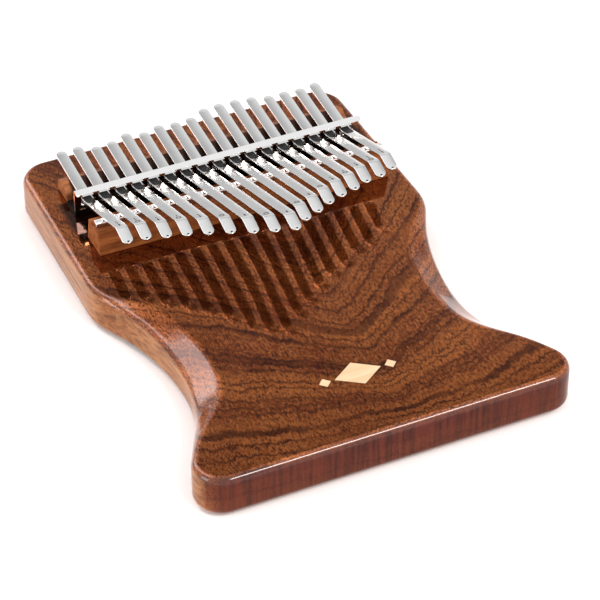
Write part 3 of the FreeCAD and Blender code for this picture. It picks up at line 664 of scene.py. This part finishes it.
def strip(name, centre_x, path, marks):
    """A flat strip along path with half-round ends in plan and softened edges.

    Each mark is a thin dark spot just proud of the upper surface.
    """
    lengths = distances([point for point, _ in path])
    total = lengths[-1]
    radius, half = TINE_WIDTH / 2, TINE_THICK / 2
    bm = bmesh.new()

    def along(s):
        """The point and direction at a distance from the rear end."""
        s = min(max(s, 0.0), total)
        j = 0
        while j < len(lengths) - 2 and lengths[j + 1] < s:
            j += 1
        t = (s - lengths[j]) / max(lengths[j + 1] - lengths[j], 1e-9)
        (p, d), (q, e) = path[j], path[j + 1]
        way = between(d, e, t)
        size = math.hypot(*way)
        return between(p, q, t), (way[0] / size, way[1] / size)

    def vertex(s, x, height):
        """A vertex at s from the rear end, x across, and height above the middle surface."""
        (y, z), (dy, dz) = along(s)
        ny, nz = (-dz, dy) if dy > 0 else (dz, -dy)
        return bm.verts.new(((centre_x + x) * MM, (y + ny * height) * MM, (z + nz * height) * MM))

    end = [radius * (1 - math.cos(math.pi / 2 * i / END_STEPS)) for i in range(1, END_STEPS + 1)]
    stations = end + [s for s in lengths if radius + END_GAP < s < total - radius - END_GAP]
    stations += [total - s for s in reversed(end)]

    def ring(inset, height):
        """The strip's plan, drawn in by inset, at height above the middle surface."""
        r = radius - inset
        right = []
        for s in stations:
            if s <= radius:
                c = math.acos(max(-1, min(1, 1 - s / radius)))
                right.append((radius - r * math.cos(c), r * math.sin(c)))
            elif s >= total - radius:
                c = math.acos(max(-1, min(1, 1 - (total - s) / radius)))
                right.append((total - radius + r * math.cos(c), r * math.sin(c)))
            else:
                right.append((s, r))
        plan = [(inset, 0.0)] + right + [(total - inset, 0.0)]
        plan += [(s, -x) for s, x in reversed(right)]
        return [vertex(s, x, height) for s, x in plan]

    edge = quarter_round(TINE_EDGE, EDGE_STEPS)
    rings = [ring(inset, -half + depth) for inset, depth in edge]
    rings += [ring(inset, half - depth) for inset, depth in reversed(edge)]
    for lower, upper in zip(rings, rings[1:]):
        join_rings(bm, lower, upper)
    size = len(rings[0])
    last = size // 2
    for cap in (rings[0], rings[-1]):
        bm.faces.new((cap[0], cap[1], cap[-1]))
        for i in range(1, last - 1):
            bm.faces.new((cap[i], cap[i + 1], cap[size - i - 1], cap[size - i]))
        bm.faces.new((cap[last - 1], cap[last], cap[last + 1]))

    def ellipse(s, half_long, half_wide):
        turns = [2 * math.pi * i / MARK_SIDES for i in range(MARK_SIDES)]
        return [vertex(total - (s + half_long * math.cos(t)), half_wide * math.sin(t),
                       half + MARK_LIFT) for t in turns]

    for s, (half_long, half_wide), hollow in marks:
        outer = ellipse(s, half_long, half_wide)
        if hollow:
            inner = ellipse(s, half_long - MARK_LINE, half_wide - MARK_LINE)
            spots = join_rings(bm, outer, inner)
        else:
            spots = [bm.faces.new(outer)]
        for face in spots:
            face.material_index = 1
    return link(name, bm)


def build_tines(material, ink):
    """Each tine is one strip that blends from its clamped root to its free tongue.
    """
    for number in range(1, TINES + 1):
        name = "tine_%02d" % number
        centre = (number - MIDDLE_TINE) * PITCH + HARDWARE_SHIFT
        tine = strip(name, centre, tine_path(number), tine_marks(number))
        tine.data.materials.append(material)
        tine.data.materials.append(ink)
        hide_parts(name + "_root", name + "_tongue")
        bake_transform(tine)


# ------------------------------------------------------------------ other pieces
def softened(node, name, width):
    """A copy of a CAD node with its sharp edges softened, standing for that node."""
    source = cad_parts[node]
    bm = bmesh.new()
    bm.from_mesh(source.data)
    bmesh.ops.remove_doubles(bm, verts=bm.verts[:], dist=1e-6)
    bmesh.ops.dissolve_limit(bm, angle_limit=math.radians(1.0), verts=bm.verts[:],
                             edges=bm.edges[:])
    obj = link(name, bm)
    bevel = obj.modifiers.new("soft_edges", "BEVEL")
    bevel.width = width * MM
    bevel.segments = 2
    bevel.limit_method = "ANGLE"
    bevel.angle_limit = math.radians(25)
    bevel.harden_normals = False
    normals = obj.modifiers.new("normals", "WEIGHTED_NORMAL")
    normals.keep_sharp = True
    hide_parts(node)
    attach(obj, ROOT)
    return obj


def build_inlay(material):
    """The three lozenges, a hair proud of the lacquered face so that their outline stays crisp."""
    low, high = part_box("lozenge_inlay")
    middle_y = (low.y + high.y) / 2
    half_y = (high.y - low.y) / 2
    small = SMALL_HALF * MM
    outer = high.x - small
    bm = bmesh.new()
    for x, half_x, half in ((0.0, LOZENGE_HALF * MM, half_y), (-outer, small, small),
                            (outer, small, small)):
        corners = [(x - half_x, middle_y), (x, middle_y - half), (x + half_x, middle_y),
                   (x, middle_y + half)]
        lower = [bm.verts.new((a, b, low.z)) for a, b in corners]
        upper = [bm.verts.new((a, b, high.z + INLAY_LIFT * MM)) for a, b in corners]
        bm.faces.new(upper)
        bm.faces.new(lower[::-1])
        join_rings(bm, lower, upper)
    inlay = link("inlay_lozenges", bm, smooth=False)
    inlay.data.materials.append(material)
    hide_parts("lozenge_inlay")
    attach(inlay, ROOT)


# ------------------------------------------------------------------ build
board = build_board()
board.data.materials.append(board_wood())
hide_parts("board")
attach(board, ROOT)

bridge_wood = satin_wood("bridge_wood", srgb(166, 98, 50), srgb(100, 50, 24))
rear_wood = satin_wood("rear_bridge_wood", srgb(172, 112, 70), srgb(112, 62, 36),
                       shaded_before=WEDGE_SHADE_Y)
chrome = bracket_chrome()
steel = metal("tine_steel", (0.80, 0.80, 0.79), 0.13, (6.0, 0.4, 1.0), 0.03, painted_dark=True)
etched = metal("etched_mark", (0.012, 0.012, 0.012), 0.55)
saddle_metal = metal("saddle_steel", (0.86, 0.85, 0.83), 0.14, (0.3, 6.0, 1.0))
screw_metal = metal("screw_steel", (0.62, 0.61, 0.59), 0.25)
maple = satin_wood("inlay_maple", srgb(216, 195, 162), srgb(200, 174, 136), 300.0)

for node, name, material, width, slot in (
        ("front_bridge", "front_bridge_bar", bridge_wood, 0.45, "bridge_wood"),
        ("rear_bridge", "rear_bridge_bar", rear_wood, 0.5, "bridge_wood"),
        ("saddle_bar", "saddle_strip", saddle_metal, 0.15, "saddle_steel"),
        ("pressure_bracket", "bracket_sheet", chrome, 0.14, "bracket_chrome"),
        ("bracket_screws", "bracket_screw_set", screw_metal, 0.12, "screw_steel")):
    piece = softened(node, name, width)
    piece.data.materials.append(material)

build_inlay(maple)
build_tines(steel, etched)


# ------------------------------------------------------------------ stage
# Places and sizes from here on are in metres.
FLOOR_DROP = 0.0002                             # keeps the floor clear of the board's underside
LIT_POINT = (0, 0, 0.02)
# Brightness of the surroundings behind the instrument, from the horizon to overhead.
BACK_SKY = ((0.0, 0.62), (0.12, 0.64), (0.22, 0.84), (0.42, 0.94), (0.62, 0.93), (0.76, 0.50),
            (0.87, 0.86), (0.95, 1.0))
SOFTBOX_X, SOFTBOX_COLOUR = -0.36, (5.2, 4.4, 4.35, 1)


def build_floor():
    bm = bmesh.new()
    bmesh.ops.create_grid(bm, x_segments=8, y_segments=8, size=3.0)
    floor = link("floor", bm)
    n = Material("floor_paper")
    grain = n.put("TexNoise", Vector=n.put("TexCoord").outputs["Object"], Scale=40.0)
    n.set(Base_Color=n.grey(grain.outputs["Fac"], (0.3, 0.95), (0.7, 0.97)), Roughness=0.9)
    floor.data.materials.append(n.material)
    floor.location.z = -FLOOR_DROP


def softbox(n, x, y, z):
    """Mask of a long soft light over the player's left, from overhead down to the back."""
    distance = n.math("ABSOLUTE", n.math("SUBTRACT", x, SOFTBOX_X))
    level = n.math("SUBTRACT", 1.5, n.math("MULTIPLY", distance, 6.0), clamp=True)
    behind = n.math("ADD", n.math("MULTIPLY", y, 3.0), 0.25, clamp=True)
    above = n.beyond(z, 0.15, 6.0)
    return n.math("MULTIPLY", n.math("MULTIPLY", level, level), n.math("MULTIPLY", behind, above))


def build_world():
    """A white studio, shaded behind the instrument, with one long softbox."""
    world = bpy.data.worlds.new("studio")
    bpy.context.scene.world = world
    world.use_nodes = True
    n = Graph(world.node_tree)
    x, y, z = n.split(n.put("TexCoord").outputs["Generated"])
    shade = n.ramp(z, [(place, (level, level, level * 1.01)) for place, level in BACK_SKY])
    nearness = n.math("MULTIPLY_ADD", y, -2.0, 0.5, clamp=True)
    surroundings = n.mix(nearness, shade, (1.0, 1.0, 1.0, 1))
    background = n.tree.nodes["Background"]
    n.feed(background, "Color", n.mix(softbox(n, x, y, z), surroundings, SOFTBOX_COLOUR))
    n.feed(background, "Strength", 0.98)


def area_light(name, spot, size, power, colour, size_y=None):
    """A square light, or a rectangle with size_y, aimed at the instrument."""
    data = bpy.data.lights.new(name, "AREA")
    data.energy = power
    data.color = colour
    data.size = size
    if size_y:
        data.shape = "RECTANGLE"
        data.size_y = size_y
    lamp = bpy.data.objects.new(name, data)
    lamp.location = spot
    lamp.rotation_euler = (Vector(LIT_POINT) - Vector(spot)).to_track_quat("-Z", "Y").to_euler()
    bpy.context.scene.collection.objects.link(lamp)


def build_camera(azimuth, elevation, distance, target):
    """A long lens from the player's left, angles in degrees."""
    azimuth, elevation = math.radians(azimuth), math.radians(elevation)
    data = bpy.data.cameras.new("camera")
    data.sensor_width = 36.0
    data.lens = 162.5
    data.shift_x, data.shift_y = -0.0021833, -0.00055
    away = Vector((-math.sin(azimuth) * math.cos(elevation),
                   -math.cos(azimuth) * math.cos(elevation), math.sin(elevation)))
    camera = bpy.data.objects.new("camera", data)
    camera.location = Vector(target) + away * distance
    camera.rotation_euler = (-away).to_track_quat("-Z", "Y").to_euler()
    bpy.context.scene.collection.objects.link(camera)
    bpy.context.scene.camera = camera


build_floor()
build_world()
bpy.context.scene.view_settings.view_transform = "Standard"
area_light("front_strip", (0.51, -1.0, 1.13), 0.7, 14.0, (1.0, 0.90, 0.86), size_y=0.30)
area_light("left_box", (-1.5, -0.2, 0.55), 0.8, 9.0, (1.0, 0.97, 0.92))
build_camera(24.74, 39.02, 1.0160, (-0.0087, -0.0397, 0.0335))
